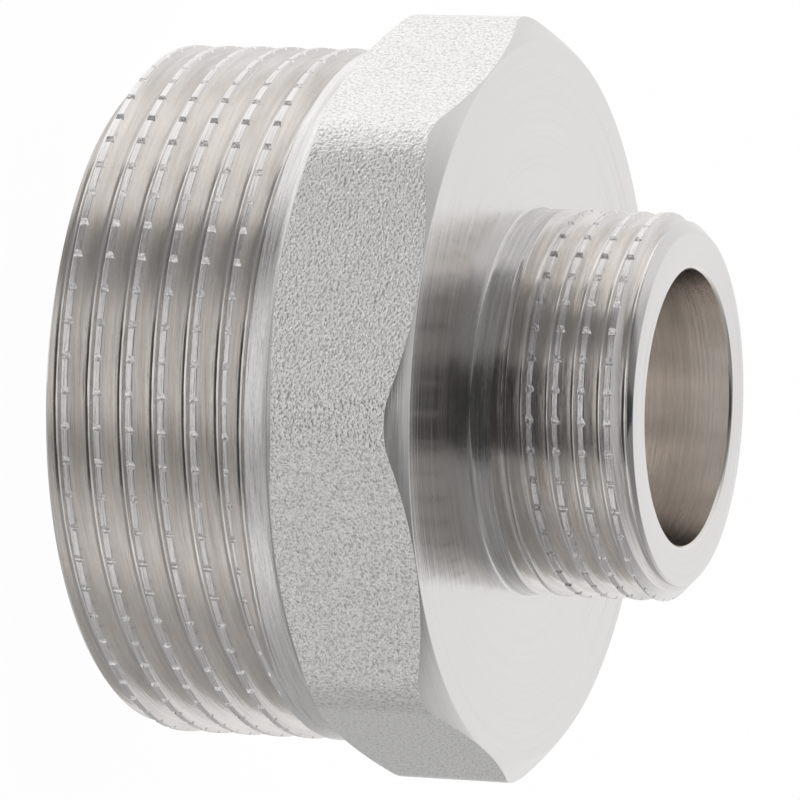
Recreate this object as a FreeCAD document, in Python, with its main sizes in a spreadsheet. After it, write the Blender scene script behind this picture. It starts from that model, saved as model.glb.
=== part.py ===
import FreeCAD, Part
import math
import os

import Sketcher

# A reducing nipple turned from one forged octagon blank, in millimetres.
# It stands on its large end: the axis is +Z and the origin is the centre of the large end face.
# The threads' grooves are rings at the true pitch, flank and depth, placed as on the side that the photo shows.

# Driving sizes: alias, value, what the value is
SIZES = [
    ("large_diameter", 47.80, "crest diameter of the 1 1/2 inch pipe thread"),
    ("large_length", 16.60, "large end face to the octagon"),
    ("large_end_chamfer", 1.10, "45 degree chamfer that starts the large thread"),
    ("large_collar_length", 1.75, "plain collar between the large thread and the octagon"),
    ("large_runout_depth", 1.00, "depth of the groove that the large thread runs out into"),
    ("large_pitch", 2.309, "pitch of the large thread, 11 to the inch"),
    ("large_thread_depth", 1.479, "depth of the large thread"),
    ("large_first_groove", 2.925, "large end face to the middle of the thread's first groove"),
    ("small_diameter", 26.44, "crest diameter of the 3/4 inch pipe thread"),
    ("small_length", 11.10, "octagon to the small end face"),
    ("small_end_chamfer", 1.19, "45 degree chamfer that starts the small thread"),
    ("small_collar_length", 1.60, "plain neck between the octagon and the small thread"),
    ("small_runout_depth", 0.55, "depth of the groove that the small thread runs out into"),
    ("small_pitch", 1.814, "pitch of the small thread, 14 to the inch"),
    ("small_thread_depth", 1.14, "depth of the small thread"),
    ("small_first_groove", 2.415, "small end face to the middle of the thread's first groove"),
    ("neck_chamfer", 0.20, "small cone where the neck meets the octagon's turned face"),
    ("thread_flank_angle", 27.50, "flank of the thread, from square to the axis"),
    ("collar_flank_angle", 41.00, "side of the run-out groove next to the plain collar"),
    ("across_flats", 49.55, "octagon, measured over two opposite flats"),
    ("octagon_width", 10.00, "length of the octagon along the axis"),
    ("corner_radius", 6.00, "rounding of the octagon's eight corners"),
    ("back_chamfer_angle", 30.00, "turned chamfer on the octagon's lower face, from that face"),
    ("front_chamfer_angle", 36.00, "turned chamfer on the octagon's upper face, from that face"),
    ("face_circle_inset", 0.05, "turned face circle, inside the flats"),
    ("small_bore_diameter", 18.80, "through bore, as wide as at the small end"),
    ("small_bore_chamfer", 0.25, "broken edge of the small bore"),
    ("large_bore_diameter", 39.00, "bore of the large end"),
    ("large_bore_depth", 17.50, "large end face to the start of the cone"),
    ("large_bore_chamfer", 0.50, "broken edge of the large bore"),
    ("bore_cone_angle", 59.00, "half angle of the cone between the two bores"),
]

FLATS = 8
NODE = "nipple_body"
TOUCH = 1e-6


def add_sheet(doc):
    """The spreadsheet that holds the driving sizes, one alias in each row."""
    sheet = doc.addObject("Spreadsheet::Sheet", "Sizes")
    for row, (alias, value, meaning) in enumerate(SIZES, start=1):
        sheet.set(f"A{row}", meaning)
        sheet.set(f"B{row}", str(value))
        sheet.setAlias(f"B{row}", alias)
    doc.recompute()
    return sheet


def plane_of(body, role):
    """One of the body's own origin planes or axes, found by its role."""
    return next(part for part in body.Origin.OriginFeatures if part.Role == role)


def add_sketch(body, name, role):
    """An empty sketch on one of the body's origin planes."""
    sketch = body.newObject("Sketcher::SketchObject", name)
    sketch.AttachmentSupport = [(plane_of(body, role), "")]
    sketch.MapMode = "FlatFace"
    return sketch


def drive(sketch, constraint, expression):
    """Adds a dimension to the sketch and binds it to the sheet."""
    index = sketch.addConstraint(constraint)
    sketch.setExpression(f"Constraints[{index}]", expression)


def value_of(sheet, expression):
    """The number that an expression on the sheet gives, for a sketch's first guess."""
    return float(sheet.evalExpression(expression))


def add_profile(body, sheet, name, corners):
    """A closed half section in the XZ plane.

    Each corner is a pair of expressions, its radius and its height. The text 0 puts it on the axis or the base line.
    """
    sketch = add_sketch(body, name, "XZ_Plane")
    points = []
    for radius, height in corners:
        points.append(FreeCAD.Vector(value_of(sheet, radius), value_of(sheet, height), 0))
    for start, end in zip(points, points[1:] + points[:1]):
        sketch.addGeometry(Part.LineSegment(start, end), False)
    for line in range(len(points)):
        following = (line + 1) % len(points)
        sketch.addConstraint(Sketcher.Constraint("Coincident", line, 2, following, 1))
    for line, (radius, height) in enumerate(corners):
        if radius == "0":
            sketch.addConstraint(Sketcher.Constraint("PointOnObject", line, 1, -2))
        else:
            drive(sketch, Sketcher.Constraint("DistanceX", -1, 1, line, 1, points[line].x), radius)
        if height == "0":
            sketch.addConstraint(Sketcher.Constraint("PointOnObject", line, 1, -1))
        else:
            drive(sketch, Sketcher.Constraint("DistanceY", -1, 1, line, 1, points[line].y), height)
    return sketch


def turn(body, kind, name, sketch):
    """Revolves a half section about the axis, to add material or to cut it away."""
    feature = body.newObject(kind, name)
    feature.Profile = sketch
    feature.ReferenceAxis = (sketch, ["V_Axis"])
    feature.Angle = 360.0
    body.Tip = feature
    return feature


def cut_check(doc, body, feature, before):
    """Raises if a cut took nothing away."""
    doc.recompute()
    if body.Shape.Volume > before - TOUCH:
        raise RuntimeError(f"{feature.Label} cut nothing away")


def add_octagon(doc, body, sheet):
    """The forged octagon between the two threads, with its rounded corners."""
    sketch = add_sketch(body, "octagon_outline", "XY_Plane")
    sketch.setExpression("AttachmentOffset.Base.z", "Sizes.large_length")
    reach = value_of(sheet, "Sizes.across_flats / 2 / cos(180deg / 8)")
    corners = []
    for number in range(FLATS):
        angle = 2 * math.pi * (number + 0.5) / FLATS
        corners.append(FreeCAD.Vector(reach * math.cos(angle), reach * math.sin(angle), 0))
    for start, end in zip(corners, corners[1:] + corners[:1]):
        sketch.addGeometry(Part.LineSegment(start, end), False)
    ring = sketch.addGeometry(Part.Circle(FreeCAD.Vector(), FreeCAD.Vector(0, 0, 1), reach), True)
    sketch.addConstraint(Sketcher.Constraint("Coincident", ring, 3, -1, 1))
    for side in range(FLATS):
        sketch.addConstraint(Sketcher.Constraint("Coincident", side, 2, (side + 1) % FLATS, 1))
        sketch.addConstraint(Sketcher.Constraint("PointOnObject", side, 1, ring))
    for side in range(1, FLATS):
        sketch.addConstraint(Sketcher.Constraint("Equal", 0, side))
    sketch.addConstraint(Sketcher.Constraint("Horizontal", 1))
    drive(sketch, Sketcher.Constraint("Radius", ring, reach), "Sizes.across_flats / 2 / cos(180deg / 8)")

    pad = body.newObject("PartDesign::Pad", "octagon")
    pad.Profile = sketch
    pad.setExpression("Length", "Sizes.octagon_width")
    body.Tip = pad
    doc.recompute()

    upright = []
    for number, edge in enumerate(pad.Shape.Edges, start=1):
        low, high = edge.Vertexes[0].Point, edge.Vertexes[-1].Point
        if math.hypot(low.x - high.x, low.y - high.y) < TOUCH:
            upright.append(f"Edge{number}")
    if len(upright) != FLATS:
        raise RuntimeError(f"the octagon has {len(upright)} upright edges")
    rounding = body.newObject("PartDesign::Fillet", "octagon_corners")
    rounding.Base = (pad, upright)
    rounding.setExpression("Radius", "Sizes.corner_radius")
    body.Tip = rounding
    doc.recompute()


def add_corner_chamfers(doc, body, sheet):
    """The two turned cones that take the corners off both ends of the octagon."""
    inner = "Sizes.across_flats / 2 - Sizes.face_circle_inset"
    outer = "Sizes.across_flats"
    rise = f"({outer} - ({inner})) * tan(Sizes.back_chamfer_angle * 1deg)"
    drop = f"({outer} - ({inner})) * tan(Sizes.front_chamfer_angle * 1deg)"
    lower = "Sizes.large_length"
    upper = "Sizes.large_length + Sizes.octagon_width"
    cones = [
        ("lower_corner_chamfer", [(inner, lower), (outer, lower), (outer, f"{lower} + {rise}")]),
        ("upper_corner_chamfer", [(inner, upper), (outer, upper), (outer, f"{upper} - {drop}")]),
    ]
    for name, corners in cones:
        before = body.Shape.Volume
        sketch = add_profile(body, sheet, f"{name}_section", corners)
        cone = turn(body, "PartDesign::Groove", name, sketch)
        cut_check(doc, body, cone, before)


def runout(end, side, sign):
    """The corners of a thread's run-out groove, from its thread side to its collar side.

    side is the height where the collar ends, and sign is 1 where the thread lies above it.
    """
    crest = f"Sizes.{end}_diameter / 2"
    depth = f"Sizes.{end}_runout_depth"
    middle = f"{side} + ({sign}) * {depth} * tan(Sizes.collar_flank_angle * 1deg)"
    thread_side = f"{middle} + ({sign}) * {depth} * tan(Sizes.thread_flank_angle * 1deg)"
    return [(crest, thread_side), (f"{crest} - {depth}", middle), (crest, side)]


def add_turned_ends(doc, body, sheet):
    """The two thread blanks: end chamfers, crest cylinders, run-out grooves and plain collars."""
    large = "Sizes.large_diameter / 2"
    small = "Sizes.small_diameter / 2"
    neck = f"{small} + Sizes.neck_chamfer"
    lower = "Sizes.large_length"
    upper = "Sizes.large_length + Sizes.octagon_width"
    top = f"{upper} + Sizes.small_length"
    large_groove = runout("large", f"{lower} - Sizes.large_collar_length", -1)
    small_groove = runout("small", f"{upper} + Sizes.small_collar_length", 1)
    corners = [
        ("0", "0"),
        (f"{large} - Sizes.large_end_chamfer", "0"),
        (large, "Sizes.large_end_chamfer"),
        *large_groove,
        (large, lower),
        (neck, lower),
        (neck, upper),
        (small, f"{upper} + Sizes.neck_chamfer"),
        *reversed(small_groove),
        (small, f"{top} - Sizes.small_end_chamfer"),
        (f"{small} - Sizes.small_end_chamfer", top),
        ("0", top),
    ]
    sketch = add_profile(body, sheet, "turned_section", corners)
    turn(body, "PartDesign::Revolution", "turned_ends", sketch)
    doc.recompute()


def add_thread(doc, body, sheet, end, first, downwards):
    """The grooves of one thread: a turned V, repeated at the pitch from the end to the run-out groove."""
    depth = f"Sizes.{end}_thread_depth"
    crest = f"Sizes.{end}_diameter / 2"
    half = f"{depth} * tan(Sizes.thread_flank_angle * 1deg)"
    runout_width = (f"Sizes.{end}_runout_depth * "
                    "(tan(Sizes.thread_flank_angle * 1deg) + tan(Sizes.collar_flank_angle * 1deg))")
    free = f"Sizes.{end}_length - Sizes.{end}_first_groove - Sizes.{end}_collar_length - {runout_width} - {half}"
    grooves = 1 + int(value_of(sheet, f"({free}) / Sizes.{end}_pitch"))
    corners = [
        (f"{crest} - {depth}", first),
        (crest, f"{first} + {half}"),
        (f"{crest} + {depth}", f"{first} + {half}"),
        (f"{crest} + {depth}", f"{first} - {half}"),
        (crest, f"{first} - {half}"),
    ]
    before = body.Shape.Volume
    sketch = add_profile(body, sheet, f"{end}_thread_section", corners)
    groove = turn(body, "PartDesign::Groove", f"{end}_thread_groove", sketch)
    cut_check(doc, body, groove, before)

    before = body.Shape.Volume
    pattern = body.newObject("PartDesign::LinearPattern", f"{end}_thread")
    pattern.Originals = [groove]
    pattern.Direction = (sketch, ["V_Axis"])
    pattern.Reversed = downwards
    pattern.Mode = "Spacing"
    pattern.setExpression("Offset", f"Sizes.{end}_pitch")
    pattern.Occurrences = grooves
    body.Tip = pattern
    cut_check(doc, body, pattern, before)


def add_bores(doc, body, sheet):
    """The wide bore of the large end, the cone and the narrow bore out of the small end."""
    wide = "Sizes.large_bore_diameter / 2"
    narrow = "Sizes.small_bore_diameter / 2"
    top = "Sizes.large_length + Sizes.octagon_width + Sizes.small_length"
    cone_end = f"Sizes.large_bore_depth + ({wide} - {narrow}) / tan(Sizes.bore_cone_angle * 1deg)"
    corners = [
        ("0", "0"),
        (f"{wide} + Sizes.large_bore_chamfer", "0"),
        (wide, "Sizes.large_bore_chamfer"),
        (wide, "Sizes.large_bore_depth"),
        (narrow, cone_end),
        (narrow, f"{top} - Sizes.small_bore_chamfer"),
        (f"{narrow} + Sizes.small_bore_chamfer", top),
        ("0", top),
    ]
    before = body.Shape.Volume
    sketch = add_profile(body, sheet, "bore_section", corners)
    bore = turn(body, "PartDesign::Groove", "bores", sketch)
    cut_check(doc, body, bore, before)


def build_nipple(doc, sheet):
    """The whole nipple, one solid."""
    body = doc.addObject("PartDesign::Body", "Nipple")
    body.Label = NODE
    body.Placement = FreeCAD.Placement()
    add_octagon(doc, body, sheet)
    add_corner_chamfers(doc, body, sheet)
    add_turned_ends(doc, body, sheet)
    add_thread(doc, body, sheet, "large", "Sizes.large_first_groove", False)
    top = "Sizes.large_length + Sizes.octagon_width + Sizes.small_length"
    add_thread(doc, body, sheet, "small", f"{top} - Sizes.small_first_groove", True)
    add_bores(doc, body, sheet)
    return body


def check_document(doc, bodies):
    """Raises if an object failed or a body isn't one valid solid."""
    for item in doc.Objects:
        if "Invalid" in item.State or "Error" in item.State:
            raise RuntimeError(f"{item.Label} failed: {item.State}")
    for body in bodies:
        if body.Shape.isNull() or not body.Shape.isValid():
            raise RuntimeError(f"{body.Label} has no valid shape")
        if len(body.Shape.Solids) != 1:
            raise RuntimeError(f"{body.Label} has {len(body.Shape.Solids)} solids")


def main():
    doc = FreeCAD.newDocument("reducing_nipple")
    sheet = add_sheet(doc)
    bodies = [build_nipple(doc, sheet)]
    doc.recompute()
    check_document(doc, bodies)
    os.makedirs("parts", exist_ok=True)
    for body in bodies:
        body.Shape.exportStep(f"parts/{body.Label}.step")
        box = body.Shape.BoundBox
        print(f"{body.Label}: volume {body.Shape.Volume:.1f} mm3, "
              f"{box.XLength:.2f} x {box.YLength:.2f} x {box.ZLength:.2f} mm")


main()
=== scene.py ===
import math
from typing import NamedTuple

import bmesh
import bpy
from mathutils import Matrix, Quaternion, Vector


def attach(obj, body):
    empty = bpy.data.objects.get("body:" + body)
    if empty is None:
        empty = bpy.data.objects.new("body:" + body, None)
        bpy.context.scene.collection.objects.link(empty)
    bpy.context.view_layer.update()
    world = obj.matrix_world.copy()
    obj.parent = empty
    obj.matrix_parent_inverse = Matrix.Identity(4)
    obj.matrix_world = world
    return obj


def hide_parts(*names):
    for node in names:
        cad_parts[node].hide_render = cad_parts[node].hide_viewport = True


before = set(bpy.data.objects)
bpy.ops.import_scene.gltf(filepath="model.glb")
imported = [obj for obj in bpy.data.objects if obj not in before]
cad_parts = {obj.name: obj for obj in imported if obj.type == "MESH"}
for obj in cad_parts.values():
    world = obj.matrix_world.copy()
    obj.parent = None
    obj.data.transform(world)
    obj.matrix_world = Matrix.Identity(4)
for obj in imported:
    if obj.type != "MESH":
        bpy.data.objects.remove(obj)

bl_info = {
    "name": "Reducing nipple",
    "version": (1, 0, 0),
    "blender": (4, 5, 0),
    "location": "3D View > Sidebar > Nipple",
    "description": "A nickel plated reducing nipple with two cut pipe threads and a forged octagon",
    "category": "Object",
}

MM = 0.001
NODE = "nipple_body"
BODY = "root"

# Lengths below are in millimetres and angles in degrees, where no share is meant

# Direction about the axis of the side that faces the camera
NEAR_SIDE = 288.03

# Steps in a whole turn of the turned forms and of the threads
STEPS = 320

# How far a cutter runs past the end that it cuts
PAST = 1.0

# Radius of the blank's disc, a little over the octagon's corners
DISC_RADIUS = 27.2

# Height of each thread tool's centre where its feed stops, and how far it is drawn back that many degrees on
LARGE_STOP = 14.05
LARGE_DRAWN_BACK = [(0, 0.0), (25, 0.24), (68, 0.52), (95, 0.67), (105, 0.90), (115, 1.17), (125, 1.60)]
SMALL_STOP = 28.60
SMALL_DRAWN_BACK = [(0, 0.0), (80, 0.20), (113, 0.38), (135, 0.62), (150, 0.86), (160, 1.04), (168, 1.35)]

# The thread tools' root: its arc as a share of the pitch, and the arc's steps to each side
ROOT_ARC = 0.137
ROOT_STEPS = 5

# The thread tools at the crest: the edge that they break, how far that cut and the tool stand out past the
# crest, and how much the tool widens on its way out
CREST_BREAK = 0.02
BREAK_PAST = 0.01
TOOL_PAST = 0.22
TOOL_DRAFT = 0.004

# A notch's section: place across the row, and height over the crest as a share of the notch's depth
NOTCH_SECTION = [
    (-0.34, 0.25), (-0.30, 0.0), (0.03, -0.86), (0.10, -1.0), (0.17, -0.75), (0.26, 0.0), (0.29, 0.25),
]

# Edges that turn more than this are shaded sharp
SHARP = 17

# A quarter turn of the stretched gloss, which sets it square to the tool lines
ACROSS = 0.25

# The tent's light below level and above it: where it starts, and how it changes between two directions about
# the axis, counted from the near side towards the top of the picture
LOWER_START = 0.84
LOWER_BANDS = [
    (-178, -140, -0.40), (-132, -104, 0.05), (-88, -58, 0.46), (-58, -31, -0.35), (-29.5, -27, -0.10),
    (-24, -4, 0.46), (56, 66, 0.10), (90, 108, 0.14), (112, 124, -0.12), (140, 179, -0.24),
]
UPPER_START = 0.86
UPPER_BANDS = [(-160, -110, -0.53), (-39, -34, -0.28), (20, 26, 0.20), (79, 86, 0.52), (120, 175, 0.09)]

# Angles from level between which the lower light gives way to the upper one
LEVEL = (-14, 2)

# The dark flag: the directions of its two sides, how far below level it ends, and the light that it takes
FLAG_START = (20, 44)
FLAG_END = (56, 66)
FLAG_DROP = (34, 50)
FLAG_DARK = 0.68

# The shade at the tent's foot: how far below level it starts, the direction where it ends, and the share of
# the light that it takes
FOOT_DROP = (22, 48)
FOOT_END = (70, 95)
FOOT_SHADE = 0.36

# The shade at the tent's top: how far above level it starts, and the share of the light that it takes
TOP_RISE = (42, 62)
TOP_SHADE = 0.35

# The brightest light that the tent can give
BRIGHTEST = 1.25


# Properties

def length(name, default, description):
    """A length property, written in millimetres and kept in metres."""
    return bpy.props.FloatProperty(
        name=name, default=default * MM, description=description, unit="LENGTH", precision=5
    )


def angle(name, default, description):
    """An angle property, written in degrees and kept in radians."""
    return bpy.props.FloatProperty(
        name=name, default=math.radians(default), description=description, unit="ROTATION"
    )


def share(name, default, description):
    """A property from 0 to 1."""
    return bpy.props.FloatProperty(
        name=name, default=default, description=description, min=0, max=1, subtype="FACTOR"
    )


def colour(name, default, description):
    """A colour property."""
    return bpy.props.FloatVectorProperty(
        name=name, default=default, description=description, size=3, min=0, max=1, subtype="COLOR"
    )


class NippleSizes(bpy.types.PropertyGroup):
    """The sizes of the turned and forged forms."""

    large_radius: length("Large crest radius", 23.90, "Crest radius of the large thread and its collar")
    large_length: length("Large end length", 16.60, "Large end face to the octagon")
    large_chamfer: length("Large end chamfer", 1.10, "Chamfer that starts the large thread")
    small_radius: length("Small crest radius", 13.22, "Crest radius of the small thread and the neck")
    small_length: length("Small end length", 11.10, "Octagon to the small end face")
    small_chamfer: length("Small end chamfer", 1.19, "Chamfer that starts the small thread")
    neck_fillet: length("Neck fillet", 0.30, "Rounding where the neck meets the turned face")
    collar_fillet: length("Collar fillet", 0.80, "Rounding where the large end's collar meets the octagon")
    half_flats: length("Half across flats", 24.775, "Axis to a flat of the octagon")
    octagon_width: length("Octagon width", 10.00, "Length of the octagon along the axis")
    corner_radius: length("Corner radius", 6.00, "Rounding of the octagon's eight corners")
    face_radius: length("Face circle radius", 24.70, "Edge of the turned face, where the corner cone starts")
    back_cone: angle("Back cone", 30.0, "Turned cone on the octagon's lower corners, from its face")
    front_cone: angle("Front cone", 36.0, "Turned cone on the octagon's upper corners, from its face")
    small_bore: length("Small bore radius", 9.40, "Radius of the through bore")
    small_mouth: length("Small mouth", 0.20, "Chamfer at the mouth of the small bore")
    large_bore: length("Large bore radius", 19.50, "Radius of the bore in the large end")
    large_mouth: length("Large mouth", 0.50, "Chamfer at the mouth of the large bore")
    large_bore_depth: length("Large bore depth", 17.50, "Large end face to the cone in the bore")
    bore_cone: angle("Bore cone", 59.0, "Half angle of the cone between the two bores")
    edge_break: length("Edge break", 0.06, "Rounding of the turned edges")


class ThreadSizes(bpy.types.PropertyGroup):
    """The sizes of the two cut threads and the notches on their crests."""

    near_side: angle("Near side", NEAR_SIDE, "Side of the nipple on which the first crests are measured")
    flank: angle("Flank angle", 27.5, "Flank of both threads, from square to the axis")
    large_pitch: length("Large pitch", 2.309, "Pitch of the large thread")
    large_depth: length("Large depth", 1.416, "Depth of the large thread")
    large_start: length("Large first crest", 1.77, "Height of its first crest on the near side")
    small_pitch: length("Small pitch", 1.814, "Pitch of the small thread")
    small_depth: length("Small depth", 1.05, "Depth of the small thread")
    small_start: length("Small first crest", 30.75, "Height of its first crest on the near side")
    large_notches: bpy.props.IntProperty(
        name="Large notch rows", default=64, min=8, description="Rows of notches round the large thread"
    )
    small_notches: bpy.props.IntProperty(
        name="Small notch rows", default=40, min=8, description="Rows of notches round the small thread"
    )
    notch_depth: length("Notch depth", 0.20, "Depth of a notch below the crest")


class FinishColours(bpy.types.PropertyGroup):
    """The colours and gloss of the nickel."""

    nickel: colour("Nickel", (0.86, 0.845, 0.835), "Colour of the bright turned nickel")
    flank: colour("Flank nickel", (0.88, 0.85, 0.825), "Colour of the nickel on the thread flanks")
    bored: colour("Bored nickel", (0.96, 0.915, 0.875), "Colour of the nickel in the bore")
    forged: colour("Forged nickel", (0.925, 0.912, 0.905), "Colour of the blasted flats")
    turned_gloss: share("Turned roughness", 0.21, "Roughness of the turned surfaces")
    faced_gloss: share("Faced roughness", 0.15, "Roughness of the turned face")
    thread_gloss: share("Thread roughness", 0.16, "Roughness of the thread flanks")
    forged_gloss: share("Forged roughness", 0.25, "Roughness of the blasted flats")
    bored_gloss: share("Bored roughness", 0.14, "Roughness of the bore")


class StudioSettings(bpy.types.PropertyGroup):
    """The camera and the light tent round the nipple."""

    camera_turn: angle("Camera turn", NEAR_SIDE, "Direction of the camera round the axis")
    camera_rise: angle("Camera rise", 20.478, "Height of the camera above level")
    camera_roll: angle("Camera roll", 92.283, "Turn of the camera about its own line of sight")
    camera_distance: length("Camera distance", 468.04, "Camera to the point it looks at")
    camera_aim: bpy.props.FloatVectorProperty(
        name="Camera aim", default=(0.252 * MM, 0.082 * MM, 16.697 * MM), size=3, subtype="TRANSLATION",
        precision=5, description="Point that the camera looks at",
    )
    camera_lens: bpy.props.FloatProperty(
        name="Camera lens", default=305.30, unit="CAMERA", description="Focal length on a 36 mm wide sensor"
    )
    tent_radius: bpy.props.FloatProperty(
        name="Tent radius", default=3.0, unit="LENGTH", description="Radius of the light tent"
    )
    floor_white: share("Floor white", 0.93, "Share of the floor's white that the shadow doesn't darken")
    floor_glow: bpy.props.FloatProperty(
        name="Floor glow", default=1.04, min=0, description="Strength of that share"
    )


# Shader maths

class Wire:
    """A node's output that can be added, multiplied and so on, with one Math node for each operator."""

    def __init__(self, nodes, socket):
        self.nodes = nodes
        self.socket = socket

    def __add__(self, other):
        return self.nodes.math("ADD", self, other)

    def __radd__(self, other):
        return self.nodes.math("ADD", other, self)

    def __sub__(self, other):
        return self.nodes.math("SUBTRACT", self, other)

    def __rsub__(self, other):
        return self.nodes.math("SUBTRACT", other, self)

    def __mul__(self, other):
        return self.nodes.math("MULTIPLY", self, other)

    def __rmul__(self, other):
        return self.nodes.math("MULTIPLY", other, self)

    def __truediv__(self, other):
        return self.nodes.math("DIVIDE", self, other)

    def __rtruediv__(self, other):
        return self.nodes.math("DIVIDE", other, self)


class Nodes:
    """The node tree of one material, with each node added in one call."""

    def __init__(self, tree):
        self.tree = tree
        tree.nodes.clear()

    def add(self, kind, settings=None, values=None):
        """Adds a node: its settings first, then a value or a link for each of its sockets."""
        node = self.tree.nodes.new(kind)
        for name, value in (settings or {}).items():
            setattr(node, name, value)
        for name, value in (values or {}).items():
            if isinstance(value, Wire):
                self.tree.links.new(value.socket, node.inputs[name])
            else:
                node.inputs[name].default_value = value
        return [Wire(self, socket) for socket in node.outputs if socket.enabled]

    def math(self, operation, *values):
        """One operation on numbers or wires, in this order."""
        return self.add("ShaderNodeMath", {"operation": operation}, dict(enumerate(values)))[0]

    def coordinates(self):
        """The Object coordinates, in metres."""
        return self.add("ShaderNodeTexCoord")[3]

    def place(self):
        """The Object coordinates, in millimetres."""
        values = {"Vector": self.coordinates(), "Scale": (1 / MM, 1 / MM, 1 / MM)}
        return self.add("ShaderNodeMapping", None, values)[0]

    def split(self, vector):
        """The three parts of a vector."""
        return self.add("ShaderNodeSeparateXYZ", None, {0: vector})

    def join(self, x, y, z):
        """A vector of three values."""
        return self.add("ShaderNodeCombineXYZ", None, {0: x, 1: y, 2: z})[0]

    def ease(self, value, low, high):
        """0 below low and 1 above high, with a smooth rise between."""
        settings = {"interpolation_type": "SMOOTHSTEP"}
        values = {"Value": value, "From Min": low, "From Max": high}
        return self.add("ShaderNodeMapRange", settings, values)[0]

    def banded(self, value, start, bands):
        """A level that begins at start and changes over each band of the value."""
        level = start
        for low, high, change in bands:
            level = level + self.ease(value, low, high) * change
        return level

    def noise(self, vector, scale, detail=2.0, roughness=0.5):
        """Noise from 0 to 1 over a vector."""
        values = {"Vector": vector, "Scale": scale, "Detail": detail, "Roughness": roughness}
        return self.add("ShaderNodeTexNoise", None, values)[0]

    def tint(self, factor, first, second):
        """A colour between two others, which Mix takes at its inputs 6 and 7."""
        return self.add("ShaderNodeMix", {"data_type": "RGBA"}, {0: factor, 6: first, 7: second})[0]

    def shades(self, factor, colour, dark, light=1.0):
        """One colour, from its dark shade to its light one."""
        return self.tint(factor, rgba(colour, dark), rgba(colour, light))

    def bump(self, height, strength, distance):
        """A normal tilted by a height."""
        values = {"Height": height, "Strength": strength, "Distance": distance}
        return self.add("ShaderNodeBump", None, values)[0]

    def metal(self, values):
        """Ends the tree with bare metal."""
        self.output(self.add("ShaderNodeBsdfPrincipled", None, {"Metallic": 1.0, **values})[0])

    def output(self, shader):
        """Ends the tree with this shader for the surface."""
        self.add("ShaderNodeOutputMaterial", None, {"Surface": shader})


def material(name):
    """A new material and its empty node tree."""
    made = bpy.data.materials.new(name)
    made.use_nodes = True
    return made, Nodes(made.node_tree)


def rgba(colour, shade=1.0):
    """A shade of a colour, opaque."""
    return (*(shade * part for part in colour), 1.0)


# Finishes

def tool_lines(nodes, rate, stretch=0.02):
    """Lines that a turning tool leaves round the axis."""
    x, y, z = nodes.split(nodes.place())
    radius = nodes.math("SQRT", x * x + y * y)
    along = nodes.join(x * stretch, y * stretch, z * 0.8 + radius)
    return nodes.noise(along, rate, 4.0, 0.6)


def lined_gloss(nodes, lines, gloss):
    """Roughness that changes from one tool line to the next."""
    return gloss - 0.09 + nodes.ease(lines, 0.38, 0.68) * 0.2


def turned_nickel(finish):
    """Bright nickel on a turned cylinder: lathe lines round the axis, some of them wide."""
    made, nodes = material("turned_nickel")
    lines = tool_lines(nodes, 6.0, 0.03) * 0.6 + tool_lines(nodes, 1.9, 0.06) * 0.4
    nodes.metal({
        "Base Color": nodes.shades(nodes.ease(lines, 0.3, 0.65), finish.nickel, 0.70),
        "Roughness": lined_gloss(nodes, lines, finish.turned_gloss),
        "Anisotropic": 0.7,
        "Anisotropic Rotation": ACROSS,
        "Normal": nodes.bump(lines, 0.9, 0.10 * MM),
    })
    return made


def thread_nickel(finish):
    """Nickel on a cut flank: smooth, with brownish tool lines."""
    made, nodes = material("thread_nickel")
    lines = tool_lines(nodes, 5.5) * 0.5 + tool_lines(nodes, 2.2, 0.05) * 0.5
    nodes.metal({
        "Base Color": nodes.shades(nodes.ease(lines, 0.3, 0.65), finish.flank, 0.78),
        "Roughness": finish.thread_gloss - 0.04 + lines * 0.08,
        "Anisotropic": 0.6,
        "Anisotropic Rotation": ACROSS,
        "Normal": nodes.bump(lines, 0.9, 0.07 * MM),
    })
    return made


def faced_nickel(finish):
    """Bright nickel on a faced end: rings about the axis."""
    made, nodes = material("faced_nickel")
    rings = tool_lines(nodes, 6.0, 0.01) * 0.4 + tool_lines(nodes, 1.8) * 0.6
    nodes.metal({
        "Base Color": nodes.shades(nodes.ease(rings, 0.3, 0.7), finish.nickel, 0.93, 0.97),
        "Roughness": lined_gloss(nodes, rings, finish.faced_gloss),
        "Anisotropic": 0.9,
        "Anisotropic Rotation": ACROSS,
        "Normal": nodes.bump(rings, 0.8, 0.03 * MM),
    })
    return made


def forged_nickel(finish):
    """Blasted and plated forging skin: a fine grain of pits whose tone varies, with painted shade darkening
    their bottoms.
    """
    made, nodes = material("forged_nickel")
    grain_and_pit_shade = nodes.noise(nodes.place(), 4.4, 2.0, 0.6)
    nodes.metal({
        # The colour falls to 0.78 where the grain is low: flecks of the skin's own tone, and painted shade at
        # the bottom of the pits
        "Base Color": nodes.shades(nodes.ease(grain_and_pit_shade, 0.34, 0.50), finish.forged, 0.78),
        "Roughness": finish.forged_gloss,
        "Normal": nodes.bump(grain_and_pit_shade, 1.0, 0.13 * MM),
    })
    return made


def bored_nickel(finish):
    """Nickel inside the bore: fine boring lines."""
    made, nodes = material("bored_nickel")
    lines = tool_lines(nodes, 6.0)
    nodes.metal({
        "Base Color": nodes.shades(nodes.ease(lines, 0.3, 0.7), finish.bored, 0.9),
        "Roughness": finish.bored_gloss + lines * 0.1,
        "Anisotropic": 0.6,
        "Anisotropic Rotation": ACROSS,
        "Normal": nodes.bump(lines, 0.5, 0.03 * MM),
    })
    return made


def notched_nickel(finish):
    """Nickel in a pressed notch: dull and uneven."""
    made, nodes = material("notched_nickel")
    lumps = nodes.noise(nodes.place(), 4.0, 2.0, 0.6)
    nodes.metal({
        "Base Color": nodes.shades(nodes.ease(lumps, 0.35, 0.65), finish.nickel, 0.70),
        "Roughness": finish.thread_gloss + lumps * 0.1,
        "Normal": nodes.bump(lumps, 0.8, 0.07 * MM),
    })
    return made


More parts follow.
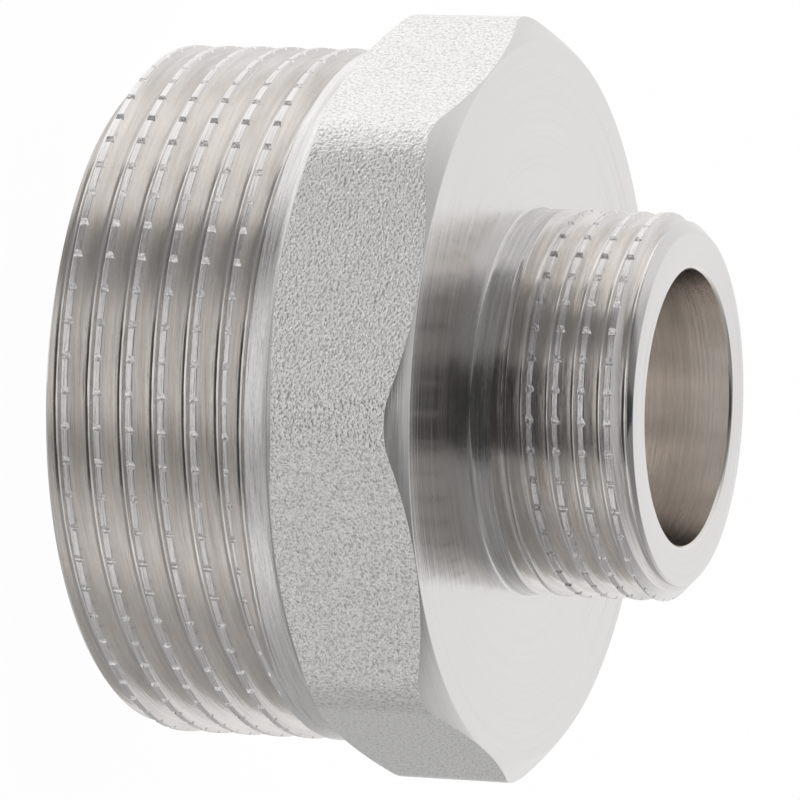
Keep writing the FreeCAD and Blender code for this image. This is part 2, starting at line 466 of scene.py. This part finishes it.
# The finishes in the order of the nipple's material slots
FINISHES = [turned_nickel, thread_nickel, faced_nickel, forged_nickel, bored_nickel, notched_nickel]
TURNED, THREAD, FACED, FORGED, BORED, NOTCHED = range(len(FINISHES))


# Mesh work, in millimetres until the nipple is finished

def about_axis(turn):
    """A turn about the nipple's axis."""
    return Matrix.Rotation(turn, 3, "Z")


def off_axis(point):
    """Distance of a point from the axis."""
    return math.hypot(point.x, point.y)


def outline(points):
    """A bmesh that holds the edges of one closed outline, given in radii and heights."""
    bm = bmesh.new()
    corners = [bm.verts.new((radius, 0.0, height)) for radius, height in points]
    bm.faces.remove(bm.faces.new(corners))
    return bm


def mend(bm):
    """Turns every face outwards. A form with open edges can't be finished."""
    open_edges = [edge for edge in bm.edges if not edge.is_manifold]
    if open_edges:
        raise RuntimeError(f"a form has {len(open_edges)} open edges")
    bmesh.ops.recalc_face_normals(bm, faces=bm.faces)


def merge_and_mend(bm):
    """Merges doubled points and turns every face outwards."""
    bmesh.ops.remove_doubles(bm, verts=bm.verts, dist=1e-5)
    mend(bm)


def cap_and_mend(bm):
    """Closes the two ends of a swept outline and turns every face outwards."""
    bmesh.ops.holes_fill(bm, edges=[edge for edge in bm.edges if edge.is_boundary])
    merge_and_mend(bm)


def as_object(bm, name, materials):
    """An object of the bmesh, with these materials. The bmesh is freed."""
    mesh = bpy.data.meshes.new(name)
    bm.to_mesh(mesh)
    bm.free()
    for made in materials:
        mesh.materials.append(made)
    holder = bpy.data.objects.new(name, mesh)
    bpy.context.scene.collection.objects.link(holder)
    return holder


def as_blank(bm, name):
    """An object of the bmesh, with an empty slot for each finish."""
    return as_object(bm, name, [None] * len(FINISHES))


def as_cutter(bm, name, finish):
    """An object of the bmesh, whose faces leave one finish where they cut."""
    for face in bm.faces:
        face.material_index = finish
    return as_blank(bm, name)


def as_stage(bm, name, made):
    """A stage object of the bmesh, in one material."""
    holder = as_object(bm, name, [made])
    return holder


def raised(bm, height):
    """Extrudes every face of bm upwards, and gives the points that moved."""
    parts = bmesh.ops.extrude_face_region(bm, geom=bm.faces[:])["geom"]
    moved = [part for part in parts if isinstance(part, bmesh.types.BMVert)]
    bmesh.ops.translate(bm, verts=moved, vec=(0, 0, height))
    return moved


def round_rings(bm, rings, offset, segments):
    """Rounds the turned edges that lie at these radii and heights."""
    chosen = []
    for edge in bm.edges:
        near, far = edge.verts[0].co, edge.verts[1].co
        level = abs(near.z - far.z) < 1e-4 and abs(off_axis(near) - off_axis(far)) < 1e-4
        if level and any(abs(off_axis(near) - r) < 0.01 and abs(near.z - z) < 0.01 for r, z in rings):
            chosen.append(edge)
    bmesh.ops.bevel(
        bm, geom=chosen, offset=offset, segments=segments, profile=0.5, affect="EDGES", material=-1,
        clamp_overlap=True,
    )


def heights(sizes):
    """Heights of the octagon's lower face, its upper face and the small end face."""
    low = sizes.large_length / MM
    high = low + sizes.octagon_width / MM
    return low, high, high + sizes.small_length / MM


def blank_profile(sizes):
    """The half section of the turned blank, bored through, and the corners in it to be rounded.

    Those are the broken edges in a list, the foot of the collar and the foot of the neck.
    """
    low, high, top = heights(sizes)
    large = sizes.large_radius / MM
    small = sizes.small_radius / MM
    face = sizes.face_radius / MM
    back = (DISC_RADIUS - face) * math.tan(sizes.back_cone)
    front = (DISC_RADIUS - face) * math.tan(sizes.front_cone)
    wide = sizes.large_bore / MM
    narrow = sizes.small_bore / MM
    depth = sizes.large_bore_depth / MM
    cone_end = depth + (wide - narrow) / math.tan(sizes.bore_cone)
    large_chamfer = sizes.large_chamfer / MM
    small_chamfer = sizes.small_chamfer / MM
    large_mouth = sizes.large_mouth / MM
    small_mouth = sizes.small_mouth / MM
    points = [
        (wide + large_mouth, 0.0),
        (large - large_chamfer, 0.0),
        (large, large_chamfer),
        (large, low),
        (face, low),
        (DISC_RADIUS, low + back),
        (DISC_RADIUS, high - front),
        (face, high),
        (small, high),
        (small, top - small_chamfer),
        (small - small_chamfer, top),
        (narrow + small_mouth, top),
        (narrow, top - small_mouth),
        (narrow, cone_end),
        (wide, depth),
        (wide, large_mouth),
    ]
    broken = [points[1], points[7], points[10], points[11], points[12]]
    return points, broken, points[3], points[8]


def turned_finish(face):
    """The finish of a face of the blank: bored if it looks at the axis, faced if it looks along it."""
    centre = face.calc_center_median()
    outwards = (face.normal.x * centre.x + face.normal.y * centre.y) / off_axis(centre)
    if outwards < -0.1:
        return BORED
    if abs(face.normal.z) > 0.7:
        return FACED
    return TURNED


def turned_blank(sizes):
    """The turned blank, with its octagon still a round disc."""
    points, broken, collar, neck = blank_profile(sizes)
    bm = outline(points)
    bmesh.ops.spin(
        bm, geom=bm.verts[:] + bm.edges[:], cent=(0, 0, 0), axis=(0, 0, 1), angle=math.tau, steps=STEPS,
        use_merge=True,
    )
    merge_and_mend(bm)
    round_rings(bm, broken, sizes.edge_break / MM, 2)
    round_rings(bm, [collar], sizes.collar_fillet / MM, 6)
    round_rings(bm, [neck], sizes.neck_fillet / MM, 6)
    mend(bm)
    for face in bm.faces:
        face.material_index = turned_finish(face)
    return as_blank(bm, "blank")


def octagon_prism(sizes):
    """The octagon as a tall prism with rounded corners, for all that lies inside it to be kept."""
    half_side = math.tau / 16
    bm = bmesh.new()
    bmesh.ops.create_circle(
        bm, cap_ends=True, radius=sizes.half_flats / MM / math.cos(half_side), segments=8,
        matrix=Matrix.Translation((0, 0, -PAST)) @ Matrix.Rotation(half_side, 4, "Z"),
    )
    raised(bm, heights(sizes)[-1] + 2 * PAST)
    upright = [edge for edge in bm.edges if abs(edge.verts[0].co.z - edge.verts[1].co.z) > 1]
    # The corner turns only 45 degrees, and there a profile of 0.5 falls inside the true arc
    bmesh.ops.bevel(
        bm, geom=upright, offset=sizes.corner_radius / MM * math.tan(half_side), segments=8, profile=0.55,
        affect="EDGES", material=-1,
    )
    merge_and_mend(bm)
    return as_cutter(bm, "octagon_prism", FORGED)


class Thread(NamedTuple):
    """One of the two threads, in millimetres, with its directions about the axis in radians."""

    name: str
    radius: float
    pitch: float
    depth: float

    # Direction of the near side, and the height of a groove there
    near: float
    groove: float

    # Height where the tool's feed stops, how it is drawn back from there, height of the end face, and 1 where
    # the face is above the stop or -1 where it is below
    stop: float
    drawn_back: list
    face: float
    way: int

    # Rows of notches, direction of the first, a row's turn from its foot to its top, and the height where the
    # rows end near the stop
    rows: int
    first_row: float
    row_turn: float
    rows_end: float

    @property
    def stop_turn(self):
        """Direction in which the tool's feed stops."""
        return self.near + (self.stop - self.groove) / self.pitch * math.tau


def both_threads(sizes, threads):
    """The large thread and the small one."""
    near = threads.near_side
    large = Thread(
        name="large",
        radius=sizes.large_radius / MM,
        pitch=threads.large_pitch / MM,
        depth=threads.large_depth / MM,
        near=near,
        groove=(threads.large_start + threads.large_pitch / 2) / MM,
        stop=LARGE_STOP,
        drawn_back=LARGE_DRAWN_BACK,
        face=0.0,
        way=-1,
        rows=threads.large_notches,
        first_row=near + math.radians(1.1),
        row_turn=math.radians(1.0),
        rows_end=13.6,
    )
    small = Thread(
        name="small",
        radius=sizes.small_radius / MM,
        pitch=threads.small_pitch / MM,
        depth=threads.small_depth / MM,
        near=near,
        groove=(threads.small_start - threads.small_pitch / 2) / MM,
        stop=SMALL_STOP,
        drawn_back=SMALL_DRAWN_BACK,
        face=heights(sizes)[-1],
        way=1,
        rows=threads.small_notches,
        first_row=near - math.radians(3.8),
        row_turn=math.radians(0.8),
        rows_end=29.65,
    )
    return large, small


def groove_profile(thread, flank):
    """The tool's outline for one thread groove, centred on height 0, in radii and heights.

    The root is an arc, and the tool widens a little at the crest, so that the cut crest's edges are broken.
    """
    root = thread.radius - thread.depth
    arc = thread.pitch * ROOT_ARC
    side = []
    for step in range(1, ROOT_STEPS + 1):
        turn = (math.pi / 2 - flank) * step / ROOT_STEPS
        side.append((root + arc - arc * math.cos(turn), arc * math.sin(turn)))
    foot, foot_height = side[-1]
    shoulder = thread.radius - CREST_BREAK
    shoulder_height = foot_height + (shoulder - foot) * math.tan(flank)
    break_angle = (flank + math.pi / 2) / 2
    crest_height = shoulder_height + (CREST_BREAK + BREAK_PAST) * math.tan(break_angle)
    side.append((shoulder, shoulder_height))
    side.append((thread.radius + BREAK_PAST, crest_height))
    side.append((thread.radius + TOOL_PAST, crest_height + TOOL_DRAFT))
    return [(root, 0.0)] + side + [(radius, -height) for radius, height in reversed(side)]


def swept(profile, height, start, turn, steps, rise=0.0):
    """The outline, set at a height and a direction and swept about the axis, with a rise at each step."""
    bm = outline(profile)
    bmesh.ops.rotate(bm, verts=bm.verts, cent=(0, 0, 0), matrix=about_axis(start))
    bmesh.ops.translate(bm, verts=bm.verts, vec=(0, 0, height))
    bmesh.ops.spin(
        bm, geom=bm.verts[:] + bm.edges[:], cent=(0, 0, 0), axis=(0, 0, 1), angle=turn, steps=steps,
        dvec=(0, 0, rise),
    )
    return bm


def groove_cutter(thread, profile):
    """The tool's path along the helix, from where its feed stops back past the end face."""
    lead = thread.way * thread.pitch
    turns = math.ceil((abs(thread.face - thread.stop) + PAST) / thread.pitch)
    bm = swept(profile, thread.stop, thread.stop_turn, thread.way * math.tau, STEPS, lead / STEPS)
    first = bm.verts[:] + bm.edges[:] + bm.faces[:]
    for number in range(1, turns):
        copied = bmesh.ops.duplicate(bm, geom=first)["geom"]
        points = [part for part in copied if isinstance(part, bmesh.types.BMVert)]
        bmesh.ops.translate(bm, verts=points, vec=(0, 0, lead * number))
    bmesh.ops.remove_doubles(bm, verts=bm.verts, dist=1e-4)
    cap_and_mend(bm)
    return as_cutter(bm, thread.name + "_groove", THREAD)


def drawn_back(table, turned):
    """How far the tool is drawn back after so many degrees, from a table of pairs."""
    for (low, near), (high, far) in zip(table, table[1:]):
        if turned <= high:
            return near + (far - near) * (turned - low) / (high - low)
    return table[-1][1]


def runout_cutter(thread, profile):
    """The tool's path after its feed stops: round at one height, drawn back as the thread's table says."""
    way = -thread.way
    steps = round(thread.drawn_back[-1][0] / 360 * STEPS)
    start = thread.stop_turn - way * math.tau / STEPS
    bm = swept(profile, thread.stop, start, way * math.tau * steps / STEPS, steps)
    for vert in bm.verts:
        # A point a hair before the start counts as there, and not as a whole turn on
        turned = (way * (math.atan2(vert.co.y, vert.co.x) - start) + 0.01) % math.tau - 0.01
        radius = off_axis(vert.co)
        vert.co.xy *= (radius + drawn_back(thread.drawn_back, math.degrees(turned))) / radius
    cap_and_mend(bm)
    return as_cutter(bm, thread.name + "_runout", THREAD)


def notch_cutter(thread, depth):
    """Bars that press rows of notches along every crest."""
    low, high = sorted((thread.rows_end, thread.face + thread.way * PAST))
    copies = thread.rows - 1
    bm = bmesh.new()
    corners = [bm.verts.new((thread.radius + out * depth, across, low)) for across, out in NOTCH_SECTION]
    bm.faces.new(corners)
    moved = raised(bm, high - low)
    bmesh.ops.rotate(bm, verts=moved, cent=(0, 0, 0), matrix=about_axis(thread.row_turn))
    bmesh.ops.rotate(bm, verts=bm.verts, cent=(0, 0, 0), matrix=about_axis(thread.first_row))
    bmesh.ops.spin(
        bm, geom=bm.verts[:] + bm.edges[:] + bm.faces[:], cent=(0, 0, 0), axis=(0, 0, 1),
        angle=math.tau * copies / thread.rows, steps=copies, use_duplicate=True,
    )
    merge_and_mend(bm)
    return as_cutter(bm, thread.name + "_bars", NOTCHED)


def cut(target, cutter, operation="DIFFERENCE"):
    """Takes the cutter away from the target, or keeps only what lies inside it, for good."""
    modifier = target.modifiers.new("cut", "BOOLEAN")
    modifier.operation = operation
    modifier.solver = "EXACT"
    modifier.object = cutter
    bpy.context.view_layer.update()
    evaluated = target.evaluated_get(bpy.context.evaluated_depsgraph_get())
    mesh = bpy.data.meshes.new_from_object(evaluated)
    target.modifiers.clear()
    old = target.data
    target.data = mesh
    bpy.data.meshes.remove(old)
    spare = cutter.data
    bpy.data.objects.remove(cutter)
    bpy.data.meshes.remove(spare)


def finish_mesh(piece):
    """Merges what the cuts left doubled, checks that the shell is closed, and shades it."""
    bm = bmesh.new()
    bm.from_mesh(piece.data)
    bmesh.ops.remove_doubles(bm, verts=bm.verts, dist=2e-4)
    bmesh.ops.dissolve_degenerate(bm, edges=bm.edges, dist=1e-4)
    mend(bm)
    bmesh.ops.triangulate(bm, faces=[face for face in bm.faces if len(face.verts) > 4])
    for edge in bm.edges:
        edge.smooth = edge.calc_face_angle(0) < math.radians(SHARP)
    for face in bm.faces:
        face.smooth = True
    bmesh.ops.scale(bm, verts=bm.verts, vec=(MM, MM, MM))
    bm.to_mesh(piece.data)
    bm.free()


class NIPPLE_OT_body(bpy.types.Operator):
    """Builds the nipple: the turned blank, the octagon, both threads and their notches"""

    bl_idname = "nipple.body"
    bl_label = "Nipple"

    def execute(self, context):
        sizes = context.scene.nipple_sizes
        settings = context.scene.nipple_threads
        threads = both_threads(sizes, settings)

        piece = turned_blank(sizes)
        cut(piece, octagon_prism(sizes), "INTERSECT")
        for thread in threads:
            cut(piece, notch_cutter(thread, settings.notch_depth / MM))
        for thread in threads:
            profile = groove_profile(thread, settings.flank)
            cut(piece, groove_cutter(thread, profile))
            cut(piece, runout_cutter(thread, profile))
        finish_mesh(piece)

        piece.name = "turned_nipple"
        for slot, make in enumerate(FINISHES):
            piece.data.materials[slot] = make(context.scene.nipple_finish)
        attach(piece, BODY)
        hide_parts(NODE)
        return {"FINISHED"}


# The stage

def tent_material(studio):
    """The tent's inside: a bright side above the picture, grey bands below it, and dark round the camera."""
    made, nodes = material("tent_cloth")
    made.cycles.emission_sampling = "NONE"
    outwards = nodes.add("ShaderNodeVectorMath", {"operation": "NORMALIZE"}, {0: nodes.coordinates()})[0]
    x, y, z = nodes.split(outwards)
    turn = studio.camera_turn
    near = x * math.cos(turn) + y * math.sin(turn)
    side = x * math.sin(turn) - y * math.cos(turn)
    around = nodes.math("ARCTAN2", side, near) * math.degrees(1)
    rise = nodes.math("ARCSINE", z) * math.degrees(1)
    drop = -1 * rise

    lower = nodes.banded(around, LOWER_START, LOWER_BANDS)
    flag = nodes.ease(around, *FLAG_START) - nodes.ease(around, *FLAG_END)
    lower = lower - flag * (1 - nodes.ease(drop, *FLAG_DROP)) * FLAG_DARK
    foot = nodes.ease(drop, *FOOT_DROP) * (1 - nodes.ease(around, *FOOT_END))
    lower = lower * (1 - foot * FOOT_SHADE)

    upper = nodes.banded(around, UPPER_START, UPPER_BANDS)
    upper = upper * (1 - nodes.ease(rise, *TOP_RISE) * TOP_SHADE)

    level = lower + nodes.ease(rise, *LEVEL) * (upper - lower)
    # The camera itself sees the tent white
    seen = nodes.add("ShaderNodeLightPath")[0]
    level = level + seen * (1 - level)
    grey = nodes.tint(level / BRIGHTEST, (0, 0, 0, 1), (1, 1, 1, 1))
    nodes.output(nodes.add("ShaderNodeEmission", None, {"Color": grey, "Strength": BRIGHTEST})[0])
    return made


def floor_material(studio):
    """White paper that keeps only a faint shadow."""
    made, nodes = material("floor_paper")
    paper = nodes.add("ShaderNodeBsdfDiffuse", None, {"Color": (0.95, 0.95, 0.95, 1)})[0]
    glow = nodes.add("ShaderNodeEmission", None, {"Color": (1, 1, 1, 1), "Strength": studio.floor_glow})[0]
    seen = nodes.add("ShaderNodeLightPath")[0]
    nodes.output(nodes.add("ShaderNodeMixShader", None, {0: seen * studio.floor_white, 1: paper, 2: glow})[0])
    return made


def light_tent(studio):
    """A sphere that lights the nipple from its inside."""
    bm = bmesh.new()
    bmesh.ops.create_uvsphere(bm, u_segments=48, v_segments=24, radius=studio.tent_radius)
    bmesh.ops.reverse_faces(bm, faces=bm.faces)
    for face in bm.faces:
        face.smooth = True
    as_stage(bm, "light_tent", tent_material(studio))


def paper_floor(studio):
    """The floor inside the tent, a hair below the nipple and left out of its reflections."""
    bm = bmesh.new()
    bmesh.ops.create_circle(
        bm, cap_ends=True, radius=studio.tent_radius * 0.98, segments=64,
        matrix=Matrix.Translation((0, 0, -0.01 * MM)),
    )
    floor = as_stage(bm, "floor", floor_material(studio))
    floor.visible_glossy = False
    floor.visible_diffuse = False


def set_camera(scene, studio):
    """The camera, rolled so that the nipple's axis lies across the picture."""
    data = bpy.data.cameras.new("camera")
    data.lens = studio.camera_lens
    data.sensor_width = 36.0
    data.clip_end = 20.0
    camera = bpy.data.objects.new("camera", data)
    scene.collection.objects.link(camera)
    turn, rise = studio.camera_turn, studio.camera_rise
    out = Vector((math.cos(turn) * math.cos(rise), math.sin(turn) * math.cos(rise), math.sin(rise)))
    upright = (-out).to_track_quat("-Z", "Y")
    camera.rotation_mode = "QUATERNION"
    camera.rotation_quaternion = upright @ Quaternion((0, 0, 1), studio.camera_roll)
    camera.location = Vector(studio.camera_aim) + out * studio.camera_distance
    scene.camera = camera


def set_world(scene):
    """A white world behind the tent, and colours shown as they are."""
    world = bpy.data.worlds.new("studio")
    world.use_nodes = True
    world.node_tree.nodes["Background"].inputs["Color"].default_value = (1, 1, 1, 1)
    scene.world = world
    scene.view_settings.view_transform = "Standard"


class NIPPLE_OT_studio(bpy.types.Operator):
    """Builds the light tent, the floor, the camera and the world"""

    bl_idname = "nipple.studio"
    bl_label = "Studio"

    def execute(self, context):
        studio = context.scene.nipple_studio
        light_tent(studio)
        paper_floor(studio)
        set_camera(context.scene, studio)
        set_world(context.scene)
        return {"FINISHED"}


class NIPPLE_PT_panel(bpy.types.Panel):
    """Lists what the add-on builds"""

    bl_idname = "NIPPLE_PT_panel"
    bl_label = "Reducing nipple"
    bl_space_type = "VIEW_3D"
    bl_region_type = "UI"
    bl_category = "Nipple"

    def draw(self, context):
        for operator in OPERATORS:
            self.layout.operator(operator.bl_idname)


GROUPS = {
    "nipple_sizes": NippleSizes,
    "nipple_threads": ThreadSizes,
    "nipple_finish": FinishColours,
    "nipple_studio": StudioSettings,
}
OPERATORS = [NIPPLE_OT_body, NIPPLE_OT_studio]
CLASSES = list(GROUPS.values()) + OPERATORS + [NIPPLE_PT_panel]


def register():
    for made in CLASSES:
        bpy.utils.register_class(made)
    for name, group in GROUPS.items():
        setattr(bpy.types.Scene, name, bpy.props.PointerProperty(type=group))


def unregister():
    for name in GROUPS:
        delattr(bpy.types.Scene, name)
    for made in reversed(CLASSES):
        bpy.utils.unregister_class(made)


def main():
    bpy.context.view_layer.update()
    register()
    bpy.ops.nipple.body()
    bpy.ops.nipple.studio()


if __name__ == "__main__":
    main()
